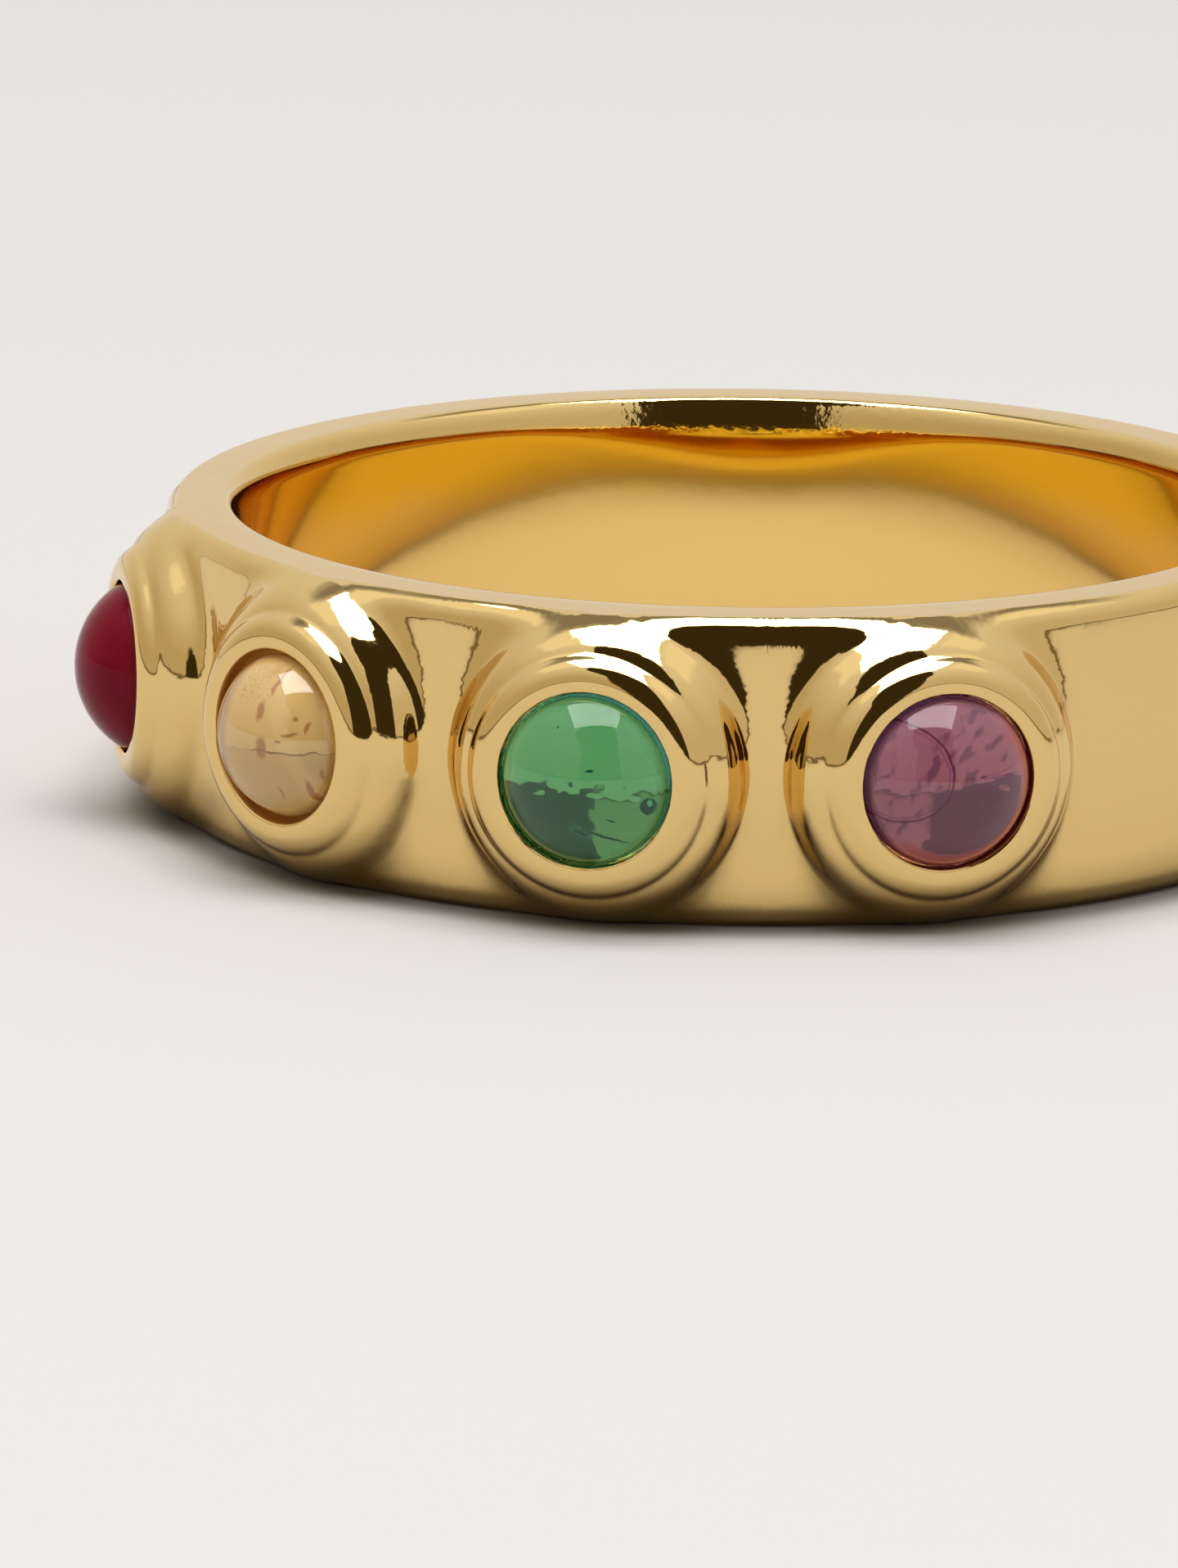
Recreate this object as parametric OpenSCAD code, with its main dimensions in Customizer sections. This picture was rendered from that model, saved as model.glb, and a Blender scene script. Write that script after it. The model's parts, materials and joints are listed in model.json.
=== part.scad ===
// Gold ring with four round cabochons, each in a stepped collar.
// Origin: centre of the finger hole, halfway across the band.
// +Z runs along the finger, and -Y points at the middle of the row of stones.
// At rest the ring lies on its side, on the lower rim.

/* [Finger hole] */
// Inner diameter of the ring
bore_d = 17.3; // [15:0.1:21]

/* [Band] */
// Thickness of the band's wall
band_t = 1.35; // [1.2:0.05:2]
// Width of the band along the finger
band_w = 5.16; // [5.1:0.02:7]
// Radius of the outer edges of the band
outer_edge_r = 0.42; // [0.1:0.02:0.5]
// Radius of the edges that the finger touches
inner_edge_r = 0.24; // [0.1:0.02:0.3]

/* [Settings] */
// Angle between neighbouring settings
setting_pitch = 32; // [31:0.5:40]
// Diameter of the lower step of a collar
step_d = 4.76; // [4.6:0.02:4.9]
// Height of the lower step above the band
step_rise = 0.5; // [0.4:0.01:0.5]
// Radius of the lower step's shoulder
step_edge_r = 0.3; // [0.1:0.01:0.32]
// Diameter of the collar that stands on the step
collar_d = 4.02; // [3.8:0.02:4.1]
// Height of the collar's lip above the band
collar_rise = 0.79; // [0.75:0.01:0.9]
// Radius of the collar's shoulder
collar_edge_r = 0.28; // [0.1:0.01:0.3]
// Diameter of the round seat that holds a stone
seat_d = 2.92; // [2.6:0.02:3]
// Depth of the seat below the lip
seat_depth = 1.48; // [1.2:0.02:1.6]

/* [Stones] */
// Diameter of the red, green and purple stones
stone_d = 2.84; // [2.5:0.02:2.84]
// Diameter of the champagne stone, a little small for its seat
small_stone_d = 2.72; // [2.5:0.02:2.84]
// Gap between a stone's flat base and the floor of its seat
base_gap = 0.04; // [0.02:0.01:0.06]
// Height of a stone's dome above the lip
dome_rise = 0.77; // [0.6:0.01:0.9]
// Depth below the lip at which the dome starts
girdle_depth = 0.24; // [0.1:0.02:0.5]
// Radius of the tight curve round the edge of the dome
dome_shoulder_r = 0.6; // [0.5:0.01:0.65]

/* [Hidden] */
$fn = 96;

bore_r = bore_d / 2;
band_r = bore_r + band_t;
step_r = step_d / 2;
collar_r = collar_d / 2;
seat_r = seat_d / 2;

// Distances from the ring's axis, measured outwards along a setting's own axis
collar_root = bore_r + 0.4 * band_t;
step_top = band_r + step_rise;
lip = band_r + collar_rise;
seat_floor = lip - seat_depth;
stone_base = seat_floor + base_gap;

girdle = lip - girdle_depth;
dome_h = dome_rise + girdle_depth;

// Each row: angle from the middle of the row of stones, colour, and the stone's diameter
ANGLE = 0;
COLOUR = 1;
DIAMETER = 2;
RED = [-1.5 * setting_pitch, "firebrick", stone_d];
CHAMPAGNE = [-0.5 * setting_pitch, "burlywood", small_stone_d];
GREEN = [0.5 * setting_pitch, "mediumseagreen", stone_d];
PURPLE = [1.5 * setting_pitch, "mediumorchid", stone_d];
SETTINGS = [RED, CHAMPAGNE, GREEN, PURPLE];

band();
stone(RED);  // stone_red
stone(CHAMPAGNE);  // stone_champagne
stone(GREEN);  // stone_green
stone(PURPLE);  // stone_purple

// The cast body: a plain band with four collars, and a blind seat in each
module band() {
    color("goldenrod")
    difference() {
        union() {
            shank();
            for (setting = SETTINGS) at_setting(setting) collar();
        }
        for (setting = SETTINGS) at_setting(setting) seat();
    }
}

// Puts a shape made along +Z onto a setting's axis, pointing away from the finger
module at_setting(setting) {
    rotate([90, 0, setting[ANGLE]]) children();
}

// The plain band, straight inside, with rounded edges
module shank() {
    rotate_extrude()
    translate([bore_r, -band_w / 2])
    union() {
        translate([inner_edge_r, 0])
            square([band_t - inner_edge_r - outer_edge_r, band_w]);
        translate([0, inner_edge_r])
            square([band_t / 2, band_w - 2 * inner_edge_r]);
        translate([band_t / 2, outer_edge_r])
            square([band_t / 2, band_w - 2 * outer_edge_r]);
        for (side = [0, 1]) translate([0, side * band_w]) mirror([0, side]) {
            translate([inner_edge_r, inner_edge_r]) circle(inner_edge_r);
            translate([band_t - outer_edge_r, outer_edge_r]) circle(outer_edge_r);
        }
    }
}

// A round collar in two steps, from inside the band's wall to the lip
module collar() {
    rotate_extrude() {
        rounded_step(step_r, collar_root, step_top, step_edge_r);
        rounded_step(collar_r, collar_root, lip, collar_edge_r);
    }
}

// Half the outline of a round step with a rounded shoulder
module rounded_step(radius, bottom, top, edge_r) {
    translate([0, bottom]) square([radius, top - edge_r - bottom]);
    translate([0, bottom]) square([radius - edge_r, top - bottom]);
    translate([radius - edge_r, top - edge_r]) circle(edge_r);
}

// The blind hole that a stone sits in
module seat() {
    translate([0, 0, seat_floor]) cylinder(h = 2 * seat_depth, r = seat_r);
}

// A round cabochon: flat base, straight girdle, and a dome with a tighter shoulder
module stone(setting) {
    stone_r = setting[DIAMETER] / 2;
    shoulder_x = stone_r - dome_shoulder_r;
    color(setting[COLOUR])
    at_setting(setting)
    rotate_extrude()
    union() {
        translate([0, stone_base]) square([stone_r, girdle - stone_base]);
        translate([0, girdle]) dome(shoulder_x);
    }
}

// Half the outline of the dome, which rises dome_h above its straight lower edge.
// The top is one arc, tangent to the shoulder's arc round (shoulder_x, 0), so its radius follows.
module dome(shoulder_x) {
    top_r = (pow(shoulder_x, 2) + pow(dome_h, 2) - pow(dome_shoulder_r, 2))
        / (2 * (dome_h - dome_shoulder_r));
    join_x = shoulder_x * top_r / (top_r - dome_shoulder_r);
    intersection() {
        translate([0, dome_h - top_r]) circle(top_r);
        square([join_x, dome_h * 2]);
    }
    intersection() {
        translate([shoulder_x, 0]) circle(dome_shoulder_r);
        translate([join_x, 0]) square([dome_shoulder_r, dome_shoulder_r]);
    }
}
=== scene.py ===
# %% [markdown]
# # A gold ring with four cabochons
# The metal is one casting with a gold finish: a plain band, four round collars in a row, and a
# seat in each collar that holds a domed stone. It lies on its side, with the row of stones
# towards us. The frame that is loaded first holds plain solids of all five pieces at their real
# size. None of them is moved here, and each is replaced by a finer form in the same place.

# %% Load the frame
import json
import math

import bpy
import numpy as np
from mathutils import Matrix, Vector


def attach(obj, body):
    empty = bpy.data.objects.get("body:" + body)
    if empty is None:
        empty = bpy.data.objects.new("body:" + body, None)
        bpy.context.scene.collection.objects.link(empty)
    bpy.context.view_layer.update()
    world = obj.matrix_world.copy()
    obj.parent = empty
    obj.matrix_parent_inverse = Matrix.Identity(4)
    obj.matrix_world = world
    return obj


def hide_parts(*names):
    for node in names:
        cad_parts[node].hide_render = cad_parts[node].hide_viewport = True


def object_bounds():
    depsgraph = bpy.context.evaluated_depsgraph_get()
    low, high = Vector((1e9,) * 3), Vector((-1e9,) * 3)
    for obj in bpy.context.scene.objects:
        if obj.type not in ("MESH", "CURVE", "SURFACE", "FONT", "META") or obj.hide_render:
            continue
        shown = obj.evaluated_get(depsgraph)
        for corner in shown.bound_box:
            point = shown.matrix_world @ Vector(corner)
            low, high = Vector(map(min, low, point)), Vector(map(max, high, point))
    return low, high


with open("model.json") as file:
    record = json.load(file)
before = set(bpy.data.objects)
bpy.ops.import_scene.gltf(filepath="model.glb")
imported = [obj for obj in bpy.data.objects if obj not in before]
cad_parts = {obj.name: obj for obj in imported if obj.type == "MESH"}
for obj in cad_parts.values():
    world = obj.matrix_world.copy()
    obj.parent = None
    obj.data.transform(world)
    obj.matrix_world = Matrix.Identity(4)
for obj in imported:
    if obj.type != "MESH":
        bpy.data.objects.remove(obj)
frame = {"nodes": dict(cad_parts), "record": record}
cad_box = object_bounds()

MM = 0.001
print("loaded", sorted(frame["nodes"]), "box", [tuple(round(v / MM, 2) for v in c) for c in cad_box])

# %% Sizes that the frame gives, and the places of the settings
low, high = cad_box
HALF_WIDTH = (high.z - low.z) / 2
BAND_R = high.y
bore = next(m for m in frame["record"]["mounts"] if m["name"] == "finger_bore")
BORE_R = bore["dims"]["r_mm"] * MM

# The settings stand evenly round the ring. Their angles count from the middle of the row.
PITCH = math.radians(32)
ANGLE = {
    "stone_red": -1.5 * PITCH,
    "stone_champagne": -0.5 * PITCH,
    "stone_green": 0.5 * PITCH,
    "stone_purple": 1.5 * PITCH,
}
print("half width", HALF_WIDTH / MM, "band radius", BAND_R / MM, "bore radius", BORE_R / MM)

# %% [markdown]
# ## Camera
# A jewel is photographed from far off with a long lens, so that it hardly tapers. The camera
# stands about 30 degrees round from the middle of the row, a little above the table, and the frame
# cuts off the right end of the ring. It is aimed at a point beside the ring's middle.

# %% The camera
AZIMUTH = math.radians(30.5)
ELEVATION = math.radians(12.94)
ROLL = math.radians(0.60)
DISTANCE = 213.4 * MM
LENS = 286.05
AIM_LEFT = 2.62 * MM
AIM_UP = 0.125 * MM

right = Vector((math.cos(AZIMUTH), math.sin(AZIMUTH), 0))
away = Vector((-math.sin(AZIMUTH), math.cos(AZIMUTH), 0))
back = -away * math.cos(ELEVATION) + Vector((0, 0, math.sin(ELEVATION)))
up = back.cross(right)

lens = bpy.data.cameras.new("camera")
lens.lens = LENS
lens.clip_start = 10 * MM
camera = bpy.data.objects.new("camera", lens)
bpy.context.scene.collection.objects.link(camera)
rolled_right = math.cos(ROLL) * right + math.sin(ROLL) * up
rolled_up = -math.sin(ROLL) * right + math.cos(ROLL) * up
pose = Matrix((rolled_right, rolled_up, back)).transposed().to_4x4()
pose.translation = Vector((0, 0, low.z)) - AIM_LEFT * right + AIM_UP * up + DISTANCE * back
camera.matrix_world = pose
bpy.context.scene.camera = camera
print("camera at", [round(v, 4) for v in camera.matrix_world.translation])

# %% [markdown]
# ## Finishes as arithmetic
# A finish is a graph of shader nodes. Written node by node it is hard to read, so a small class
# wraps a socket. Sums and products of wrapped sockets add Math nodes, and one method adds any
# other node.

# %% A wrapped socket
class Wire:
    """A node socket that can be used in sums and products."""

    def __init__(self, tree, socket=None):
        self.tree = tree
        self.socket = socket

    def node(self, kind, settings=None, sockets=None, output=0):
        """Adds a node: its settings first, then the values or wires of its sockets."""
        node = self.tree.nodes.new(kind)
        for name, value in (settings or {}).items():
            setattr(node, name, value)
        for name, value in (sockets or {}).items():
            if isinstance(value, Wire):
                self.tree.links.new(value.socket, node.inputs[name])
            else:
                node.inputs[name].default_value = value
        return Wire(self.tree, node.outputs[output])

    def maths(self, operation, first, second=0.0):
        return self.node("ShaderNodeMath", {"operation": operation}, {0: first, 1: second})

    def __add__(self, other):
        return self.maths("ADD", self, other)

    def __radd__(self, other):
        return self.maths("ADD", other, self)

    def __sub__(self, other):
        return self.maths("SUBTRACT", self, other)

    def __rsub__(self, other):
        return self.maths("SUBTRACT", other, self)

    def __mul__(self, other):
        return self.maths("MULTIPLY", self, other)

    def __rmul__(self, other):
        return self.maths("MULTIPLY", other, self)


def new_finish(name):
    """Returns a material, its main shader and a wire to start from."""
    material = bpy.data.materials.new(name)
    material.use_nodes = True
    shader = material.node_tree.nodes["Principled BSDF"]
    return material, shader, Wire(material.node_tree)


def plug(wire, shader, socket):
    """Links a wire to a socket of a shader."""
    wire.tree.links.new(wire.socket, shader.inputs[socket])


def fade(value, start, end):
    """Goes smoothly from 0 to 1 as a value goes from start to end."""
    return value.node("ShaderNodeMapRange", {"interpolation_type": "SMOOTHSTEP"}, {
        "Value": value, "From Min": start, "From Max": end})


def mix_colours(factor, first, second):
    """The first colour where the factor is 0 and the second where it is 1."""
    first, second = [c if isinstance(c, Wire) else (*c, 1) for c in (first, second)]
    return factor.node("ShaderNodeMix", {"data_type": "RGBA"}, {0: factor, 6: first, 7: second}, output=2)


def dot(vector, direction):
    """How far a vector reaches along a direction."""
    return vector.node(
        "ShaderNodeVectorMath", {"operation": "DOT_PRODUCT"}, {0: vector, 1: direction}, output=1)


def size_of(vector):
    """The length of a vector."""
    return vector.node("ShaderNodeVectorMath", {"operation": "LENGTH"}, {0: vector}, output=1)


print("wires add, subtract and multiply")

# %% [markdown]
# ## Floor and light
# The ring lies on a seamless pale table. Polished gold shows nothing of its own: its look is the
# reflection of what stands round it. Here that is a softbox overhead, the pale table and the
# backdrop behind it, beige walls at the sides, and the dark room round the camera. The room's
# parts could be modelled as cards, but all of them are far away, so they are painted on the
# world: each is a mask on the direction that a reflection looks in.

# %% The floor, with a soft shade where the ring rests
# Polished gold throws so much light at its own foot that the table there would hardly be shaded.
# The table's colour is therefore darker close to the band. The shade has a strong part close to
# the band's outer wall and a weak part that reaches further, and it ends at the finger hole.
FLOOR_SIZE = 3.0
PAPER, SHADED_PAPER = (0.650, 0.635, 0.625), (0.185, 0.172, 0.160)
STRONG_PART, STRONG_START, STRONG_END, WEAK_END = 0.65, -0.1 * MM, 0.85 * MM, 2.0 * MM
HOLE_START, HOLE_END = BORE_R + 0.1 * MM, BORE_R + 0.5 * MM
bpy.ops.object.select_all(action="DESELECT")
bpy.ops.mesh.primitive_plane_add(size=FLOOR_SIZE, location=(0, 0, low.z))
floor = bpy.context.object
floor.name = "floor"
paper, shader, wire = new_finish("pale_table")
spread = wire.node("ShaderNodeTexCoord", output=3)
from_middle = size_of(spread)
outside = from_middle - BAND_R
strong = STRONG_PART * fade(outside, STRONG_START, STRONG_END)
lit = strong + (1 - STRONG_PART) * fade(outside, 0.0, WEAK_END)
lit = lit.maths("MAXIMUM", lit, 1 - fade(from_middle, HOLE_START, HOLE_END))
plug(mix_colours(lit, SHADED_PAPER, PAPER), shader, "Base Color")
shader.inputs["Roughness"].default_value = 0.9
shader.inputs["Specular IOR Level"].default_value = 0.0
floor.data.materials.append(paper)
print("floor at", low.z / MM, "mm")

# %% The softbox
def panel_matrix(centre, across, along):
    """Places a flat thing so that its own X and Y lie along two given directions."""
    matrix = Matrix((across, along, across.cross(along))).transposed().to_4x4()
    matrix.translation = centre
    return matrix


def studio(x, y, z):
    """A place in the studio: x to the camera's right, y away from the camera, z up."""
    return x * right + y * away + Vector((0, 0, z))


BOX_H = 0.4
BOX_LEFT, BOX_RIGHT = -0.50 * BOX_H, 0.39 * BOX_H
BOX_NEAR, BOX_FAR = -0.50 * BOX_H, 0.17 * BOX_H
BOX_RADIANCE = 4.5
softbox = bpy.data.lights.new("softbox", "AREA")
softbox.shape = "RECTANGLE"
softbox.size = BOX_RIGHT - BOX_LEFT
softbox.size_y = BOX_FAR - BOX_NEAR
softbox.energy = BOX_RADIANCE * math.pi * softbox.size * softbox.size_y
softbox_object = bpy.data.objects.new("softbox", softbox)
bpy.context.scene.collection.objects.link(softbox_object)
centre = studio((BOX_LEFT + BOX_RIGHT) / 2, (BOX_NEAR + BOX_FAR) / 2, BOX_H)
softbox_object.matrix_world = panel_matrix(centre, right, away)
print("softbox", round(softbox.size, 3), "x", round(softbox.size_y, 3), "m")

# %% The colours of the room
WALL_LEFT = (0.60, 0.53, 0.41)
WALL_RIGHT = (0.69, 0.64, 0.56)
BACKDROP = (0.82, 0.775, 0.70)
HIGH_WALL = (0.95, 0.95, 1.0)
CEILING = (0.30, 0.29, 0.28)
GLOW = (1.10, 1.08, 1.05)
DARK_ROOM = (0.045, 0.032, 0.012)
TABLE_EDGE = (0.22, 0.17, 0.09)
print("brightest part of the room", max(*BACKDROP, *HIGH_WALL, *GLOW))

# %% Directions in the room
# A reflection looks in a direction of length 1. Its depth is -1 straight in front of the ring and
# 1 behind it, its part across is 1 to the right, and its height is 1 overhead.
world = bpy.data.worlds.new("studio")
bpy.context.scene.world = world
world.use_nodes = True
look = Wire(world.node_tree).node("ShaderNodeTexCoord")
across = dot(look, right)
depth = dot(look, away)
height = look.node("ShaderNodeSeparateXYZ", None, {0: look}, output=2)
LEAST = 0.001
over = height.maths("MAXIMUM", height, LEAST)
front = depth.maths("MAXIMUM", 0 - depth, LEAST)


def between(value, start, full, last, end):
    """Rises from 0 to 1 between two places, and falls back to 0 between two further ones."""
    return fade(value, start, full) * (1 - fade(value, last, end))


print("directions ready")

# %% The dark opening round the camera
# Its sides are upright lines, measured across against the depth, and it widens high up.
OPENING_LEFT, OPENING_RIGHT = (-0.40, -0.36), (0.50, 0.54)
OPENING_DEPTH, OPENING_HEIGHT = (0.02, -0.02), (-0.01, 0.0, 0.90, 0.93)
WIDER_FROM, WIDER_LEFT, WIDER_RIGHT = (0.55, 0.80), 0.40, 0.15
sideways = across.maths("DIVIDE", across, front)
wider = fade(height, *WIDER_FROM)
opening = fade(sideways + WIDER_LEFT * wider, *OPENING_LEFT)
opening = opening * (1 - fade(sideways - WIDER_RIGHT * wider, *OPENING_RIGHT))
opening = opening * fade(depth, *OPENING_DEPTH) * between(height, *OPENING_HEIGHT)
print("opening from", OPENING_LEFT, "to", OPENING_RIGHT)

# %% The lit patches at both sides, high on the walls
# They are measured as on a flat ceiling: outwards and backwards, against the height.
GLOW_OUT, GLOW_BACK = (0.42, 0.52, 0.85, 1.05), (-0.45, -0.25, 0.15, 0.30)
out_by = across.maths("DIVIDE", across.maths("ABSOLUTE", across), over)
back_by = depth.maths("DIVIDE", depth, over)
side_glow = between(out_by, *GLOW_OUT) * between(back_by, *GLOW_BACK)
print("patches from", GLOW_OUT[0], "to", GLOW_OUT[-1], "outwards")

# %% The room, put together on the world
# Each pair is where one part of the room starts to give way to the next, and where it has.
LEFT_TO_RIGHT, TO_BACKDROP, TO_HIGH_WALL = (-0.3, 0.3), (0.2, 0.95), (0.2, 1.0)
HIGH, BEHIND, OVERHEAD = (0.72, 0.85), (0.10, 0.30), (0.94, 0.98)
ABOVE_TABLE, PAST_TABLE = (0.018, 0.030), (0.15, 0.45)
high_behind = fade(height, *HIGH) * fade(depth, *BEHIND)
table_edge = (1 - fade(height, *ABOVE_TABLE)) * (1 - fade(depth, *PAST_TABLE))
room = mix_colours(fade(across, *LEFT_TO_RIGHT), WALL_LEFT, WALL_RIGHT)
room = mix_colours(fade(depth, *TO_BACKDROP), room, BACKDROP)
room = mix_colours(fade(height, *TO_HIGH_WALL), room, HIGH_WALL)
room = mix_colours(side_glow, room, GLOW)
room = mix_colours(high_behind, room, CEILING)
room = mix_colours(fade(height, *OVERHEAD), room, CEILING)
room = mix_colours(table_edge, room, TABLE_EDGE)
room = mix_colours(opening, room, DARK_ROOM)
plug(room, world.node_tree.nodes["Background"], "Color")

# Inside the bore the gold mirrors itself many times over, so light may bounce more than usual.
GOLD_BOUNCES = 10
bpy.context.scene.cycles.glossy_bounces = GOLD_BOUNCES
print("room of", len(world.node_tree.nodes), "nodes")

# %% [markdown]
# ## The gold body
# On the real ring the band, the collars and the seats are one casting, polished by hand, so the
# collars flow into the band with no crease. A boolean and a bevel would leave a hard seam, and
# polished metal shows every seam. So one setting's share of the band is drawn as a flat pattern
# of rings, each extruded from the one before. Then every ring is laid on the metal's surface by
# a formula that blends two round steps into the band. Four copies are joined, the plain part of
# the band is spun from the last one's edge, and the rims and the bore are grown from the upper
# edge down to the lower one.

# %% Helpers for shaping rings
def select_where(obj, test):
    """Selects the points of a mesh that pass a test, and opens it for editing."""
    if bpy.context.mode != "OBJECT":
        bpy.ops.object.mode_set(mode="OBJECT")
    mesh = obj.data
    chosen = [test(v.co) for v in mesh.vertices]
    mesh.polygons.foreach_set("select", [False] * len(mesh.polygons))
    mesh.edges.foreach_set("select", [False] * len(mesh.edges))
    mesh.vertices.foreach_set("select", chosen)
    bpy.ops.object.mode_set(mode="EDIT")
    bpy.ops.mesh.select_mode(type="VERT")
    return sum(chosen)


def grow_rings(start, rings):
    """Extrudes the selected ring through a list of (radius, height) pairs round the Z axis."""
    radius, height = start
    for new_radius, new_height in rings:
        scale = new_radius / radius
        bpy.ops.mesh.extrude_region_move(TRANSFORM_OT_translate={"value": (0, 0, new_height - height)})
        bpy.ops.transform.resize(value=(scale, scale, 1), center_override=(0, 0, 0))
        radius, height = new_radius, new_height


def arc(radius, centre, start, end, steps):
    """Points (radius, height) along an arc in steps, without its first point. Angles from level."""
    turns = [math.radians(start + (end - start) * i / steps) for i in range(1, steps + 1)]
    return [(centre[0] + radius * math.cos(t), centre[1] + radius * math.sin(t)) for t in turns]


print("a quarter arc in three steps:", [tuple(round(v, 2) for v in p) for p in arc(1, (0, 0), 0, 90, 3)])

# %% [markdown]
# ## The metal as a distance
# A cast collar has no drawn outline where it runs into the band. What is known is how far any
# point lies outside each plain shape: the band's wall and two round steps. The smaller of two
# such distances joins two shapes, and rounding it over where they are about equal makes the soft
# flow of polished metal. Along the wall's width the blend is wide, because the collar nearly
# reaches the rims there, and round the ring it is narrower.

# %% The band's outer wall as a formula
# Across its width the wall is three arcs, each tangent to the next: a very flat barrel, a tight
# curve towards the rim, and a crisp edge against the flat rim. Angles are from the wall's middle.
BARREL_END, CURVE_END = math.radians(5.6), math.radians(58)
CURVE_R, CRISP_R = 0.46 * MM, 0.07 * MM
CRISP_Y = HALF_WIDTH - CRISP_R
CURVE_Y = CRISP_Y - (CURVE_R - CRISP_R) * math.sin(CURVE_END)
WALL_HALF = CURVE_Y + CURVE_R * math.sin(BARREL_END)
BARREL_R = WALL_HALF / math.sin(BARREL_END)
CURVE_X = BAND_R - BARREL_R + (BARREL_R - CURVE_R) * math.cos(BARREL_END)
RIM_R = CURVE_X + (CURVE_R - CRISP_R) * math.cos(CURVE_END)
# Each arc: its radius, the height and distance of its centre, and the angles where it starts and ends
ARCS = [
    (BARREL_R, 0, BAND_R - BARREL_R, 0, BARREL_END),
    (CURVE_R, CURVE_Y, CURVE_X, BARREL_END, CURVE_END),
    (CRISP_R, CRISP_Y, RIM_R, CURVE_END, math.pi / 2),
]
SPANS = np.cumsum([0] + [arc_r * (end - start) for arc_r, _, _, start, end in ARCS])
SPAN_HALF = SPANS[-1]


def wall_profile(span):
    """Height along the finger and distance from the ring's axis, for a place across the wall."""
    size = np.abs(span)
    height, radius = 0 * size, 0 * size
    for (arc_r, arc_y, arc_x, start, end), before in zip(ARCS, SPANS):
        turn = start + np.clip((size - before) / arc_r, 0, end - start)
        height = np.where(size >= before, arc_y + arc_r * np.sin(turn), height)
        radius = np.where(size >= before, arc_x + arc_r * np.cos(turn), radius)
    return np.sign(span) * height, radius


def wall_span(height):
    """The place across the wall that lies at a height along the finger."""
    span = 0
    for arc_r, arc_y, _, start, end in ARCS:
        sine = np.clip((np.abs(height) - arc_y) / arc_r, math.sin(start), math.sin(end))
        span = span + arc_r * (np.arcsin(sine) - start)
    return np.sign(height) * span


def wall_distance(x, y, z):
    """How far a point in a setting's own frame lies outside the band's outer wall."""
    distance = 0 * x
    for arc_r, arc_y, arc_x, start, _ in ARCS:
        up_by, out_by = np.abs(y) - arc_y, np.hypot(x, z) - arc_x
        inside = np.arctan2(up_by, out_by) >= start
        distance = np.where(inside, np.hypot(up_by, out_by) - arc_r, distance)
    return distance


print("barrel radius", round(BARREL_R / MM, 2), "rim's outer radius", round(RIM_R / MM, 3))

# %% The collar's two steps as a formula
# Each step has a radius, a top that counts from the ring's axis, and a rounded shoulder.
LIP = BAND_R + 0.79 * MM
COLLAR_R, COLLAR_EDGE = 2.05 * MM, 0.45 * MM
STEP_R, STEP_TOP, STEP_EDGE = 2.42 * MM, LIP - 0.23 * MM, 0.72 * MM
STEP_BLEND = 0.08 * MM
# How far the collar's foot flows into the band, round the ring and towards the rims
SIDE_BLEND, RIM_BLEND = 0.50 * MM, 0.85 * MM


def disc_distance(r, z, radius, top, edge):
    """How far a point lies outside a round disc with a rounded shoulder."""
    side = r - (radius - edge)
    above = z - (top - edge)
    outside = np.hypot(np.maximum(side, 0), np.maximum(above, 0))
    return np.minimum(np.maximum(side, above), 0) + outside - edge


def blend(first, second, reach):
    """The smaller of two distances, rounded over by a cubic where they are about equal."""
    overlap = np.maximum(reach - np.abs(first - second), 0) / reach
    return np.minimum(first, second) - overlap ** 3 * reach / 6


NO_RADIUS = 1e-9


def metal_distance(x, y, z):
    """How far a point in a setting's own frame lies outside the gold."""
    r = np.hypot(x, y)
    collar = disc_distance(r, z, COLLAR_R, LIP, COLLAR_EDGE)
    step = disc_distance(r, z, STEP_R, STEP_TOP, STEP_EDGE)
    reach = SIDE_BLEND + (RIM_BLEND - SIDE_BLEND) * (y / np.maximum(r, NO_RADIUS)) ** 2
    whole = blend(blend(collar, step, STEP_BLEND), wall_distance(x, y, z), reach)
    return np.maximum(whole, np.abs(y) - HALF_WIDTH)


NUDGE = 1e-4 * MM
LEAST_SLOPE = 0.1


def lay_on_metal(points, passes):
    """Moves points along the slope of the distance until they lie on the gold."""
    for _ in range(passes):
        distance = metal_distance(*points)
        moved = [points + NUDGE * axis[:, None, None] for axis in np.eye(3)]
        slope = np.array([metal_distance(*m) - distance for m in moved]) / NUDGE
        points = points - slope * distance / np.maximum((slope ** 2).sum(axis=0), LEAST_SLOPE)
    return points


middle_top = metal_distance(np.array([0.0]), np.array([0.0]), np.array([LIP + MM]))[0]
print("a point 1 mm above the lip is", round(middle_top / MM, 3), "mm from the gold")

# %% Where the spokes of one setting's share end
# Spokes run from the collar's lip to a border: the two rims, and two lines across the wall half
# way to the next settings. Four quarters of the turn end at the four sides of the border.
SPOKES = 160
BORDER_HALF = BAND_R * PITCH / 2

# How the points on a line across the wall are shared out over its three arcs
ARC_SHARES = [0, 0.45, 0.85, 1]

turn = np.arange(SPOKES) * 2 * math.pi / SPOKES
quarter = ((turn + math.pi / 4) // (math.pi / 2)).astype(int) % 4
lean = (turn + math.pi / 4) % (math.pi / 2) / (math.pi / 4) - 1
border_x = np.choose(quarter, [1 + 0 * lean, -lean, -1 + 0 * lean, lean]) * BORDER_HALF
across_wall = np.interp(np.abs(lean), ARC_SHARES, SPANS) * np.sign(lean)
full = SPAN_HALF + 0 * lean
border_span = np.choose(quarter, [across_wall, full, -across_wall, -full])
print("border", round(2 * BORDER_HALF / MM, 2), "by", round(2 * SPAN_HALF / MM, 2), "mm")

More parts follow.
